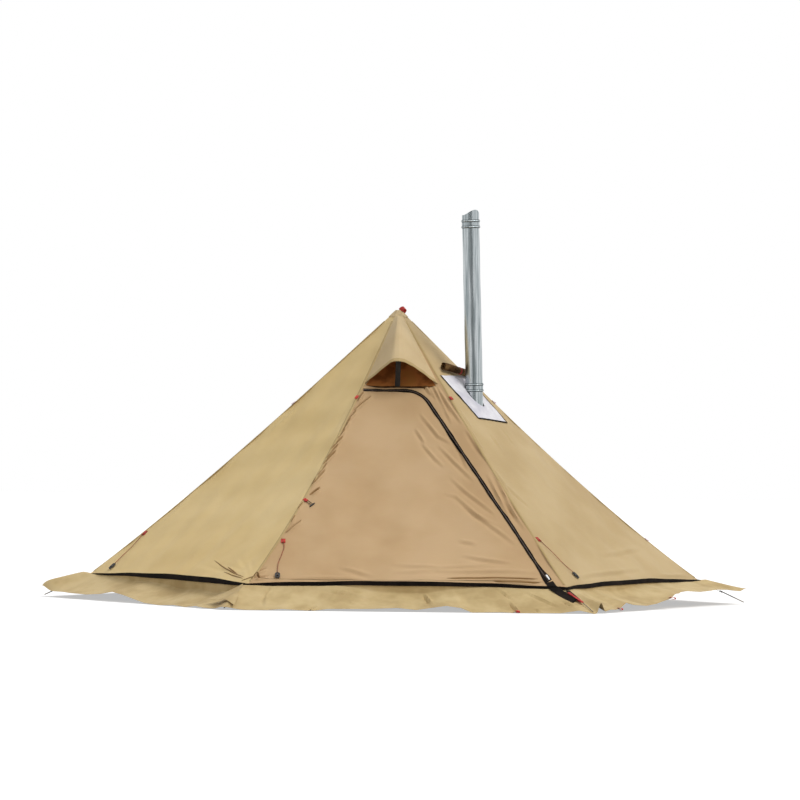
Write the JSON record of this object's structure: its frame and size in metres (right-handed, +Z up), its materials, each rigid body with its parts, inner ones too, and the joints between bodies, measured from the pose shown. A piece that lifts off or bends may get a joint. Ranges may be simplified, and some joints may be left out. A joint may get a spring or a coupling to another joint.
{
  "type": "hot tent with stove flue",
  "caption": "Six-sided pyramid tent on one centre pole, with a snow skirt, zipped door, propped vent hood and a stove jack with a box stove and flue pipe.",
  "frame": {"origin": "on the ground under the apex, which is the middle of the bounding box's bottom", "axes": "+Z up; the front side with the door and vent faces -Y; the flue pipe stands at +X"},
  "size_m": [3.6872, 3.1948, 2.0418],
  "materials": {
    "tan_cloth": "thin coated woven cloth with a slight sheen",
    "black_webbing": "woven webbing and zip tape",
    "red_webbing": "woven webbing",
    "brown_mesh": "fine insect mesh",
    "heat_cloth": "coated heat-proof glass cloth",
    "rolled_cloth": "rolled cloth flap",
    "pipe_steel": "thin rolled stainless sheet",
    "stove_steel": "heat-tinted stainless sheet",
    "peg_steel": "bent round wire",
    "zip_metal": "die-cast slider",
    "pole_aluminium": "anodised tube",
    "pole_rubber": "moulded foot",
    "black_plastic": "moulded plastic",
    "cord": "braided cord"
  },
  "bodies": {
    "canopy": {"apex_cap": "tan_cloth", "cord_lock_front_right": "black_plastic", "cord_lock_left": "black_plastic", "corner_loop_front_left": "black_webbing", "corner_loop_front_right": "black_webbing", "corner_loop_left": "black_webbing", "corner_loop_rear_left": "black_webbing", "corner_loop_rear_right": "black_webbing", "corner_loop_right": "black_webbing", "front_panel": "tan_cloth", "guy_cord_front_right": "cord", "guy_cord_left": "cord", "guy_tab_front_right": "red_webbing", "guy_tab_left": "red_webbing", "hang_loop": "red_webbing", "hem_webbing": "black_webbing", "jack_binding": "black_webbing", "jack_flap_roll": "rolled_cloth", "jack_panel": "heat_cloth", "peg_front_left": "peg_steel", "peg_front_right": "peg_steel", "peg_left": "peg_steel", "peg_rear_left": "peg_steel", "peg_rear_right": "peg_steel", "peg_right": "peg_steel", "pole_foot": "pole_rubber", "pole_lower": "pole_aluminium", "skirt_front": "tan_cloth", "skirt_front_left": "tan_cloth", "skirt_front_right": "tan_cloth", "skirt_rear": "tan_cloth", "skirt_rear_left": "tan_cloth", "skirt_rear_right": "tan_cloth", "stove_body": "stove_steel", "vent_hood": "tan_cloth", "vent_mesh": "brown_mesh", "wall_front_left": "tan_cloth", "wall_front_right": "tan_cloth", "wall_rear": "tan_cloth", "wall_rear_left": "tan_cloth", "wall_rear_right": "tan_cloth", "zip_tape_frame": "black_webbing"},
    "door": {"door_flap": "tan_cloth", "zip_tape_door": "black_webbing", "guy_tab_front_left": "red_webbing", "guy_cord_front_left": "cord", "cord_lock_front_left": "black_plastic", "door_tieback": "black_plastic"},
    "slider": {"zip_slider": "zip_metal"},
    "prop": {"vent_prop": "black_plastic"},
    "pole_top": {"pole_upper": "pole_aluminium"},
    "flue": {"stove_pipe": "pipe_steel", "pipe_band_top": "pipe_steel", "pipe_band_jack": "pipe_steel"},
    "damper_plate": {"damper": "stove_steel"},
    "fire_door": {"stove_door": "stove_steel"},
    "latch": {"stove_latch": "stove_steel"},
    "air_slide": {"stove_air_slide": "stove_steel"},
    "leg_front": {"stove_leg_front": "stove_steel"},
    "leg_rear": {"stove_leg_rear": "stove_steel"}
  },
  "joints": [
    {"name": "door_swing", "type": "hinge", "parent": "canopy", "child": "door", "pos_m": [-0.8, -1.38564, 0.12], "axis": [-0.3751, -0.6497, -0.6612], "range_deg": [0, 110]},
    {"name": "zip_slide", "type": "slide", "parent": "canopy", "child": "slider", "axis": [-0.4073, 0.6553, 0.6361], "range_m": [0, 1.31]},
    {"name": "vent_prop_fold", "type": "hinge", "parent": "canopy", "child": "prop", "pos_m": [-0.01636, -0.35004, 1.12065], "axis": [-1, 0, 0], "range_deg": [0, 70]},
    {"name": "pole_extend", "type": "slide", "parent": "canopy", "child": "pole_top", "axis": [0, 0, 1], "range_m": [-0.45, 0]},
    {"name": "pipe_lift", "type": "slide", "parent": "canopy", "child": "flue", "axis": [-0.034, 0, 0.9994], "range_m": [0, 0.15]},
    {"name": "damper_turn", "type": "hinge", "parent": "flue", "child": "damper_plate", "pos_m": [0.40225, -0.225, 0.70164], "axis": [0.9994, 0, 0.034], "range_deg": [0, 90]},
    {"name": "fire_door_swing", "type": "hinge", "parent": "canopy", "child": "fire_door", "pos_m": [0.32748, -0.5543, 0.27], "axis": [0, 0, -1], "range_deg": [0, 110]},
    {"name": "latch_turn", "type": "hinge", "parent": "fire_door", "child": "latch", "pos_m": [0.48348, -0.5556, 0.27], "axis": [0, -1, 0], "range_deg": [0, 90]},
    {"name": "air_slide_push", "type": "slide", "parent": "fire_door", "child": "air_slide", "axis": [1, 0, 0], "range_m": [0, 0.0125]},
    {"name": "leg_front_fold", "type": "hinge", "parent": "canopy", "child": "leg_front", "pos_m": [0.41348, -0.52, 0.164], "axis": [1, 0, 0], "range_deg": [0, 90]},
    {"name": "leg_rear_fold", "type": "hinge", "parent": "canopy", "child": "leg_rear", "pos_m": [0.41348, -0.18, 0.164], "axis": [-1, 0, 0], "range_deg": [0, 90]}
  ]
}
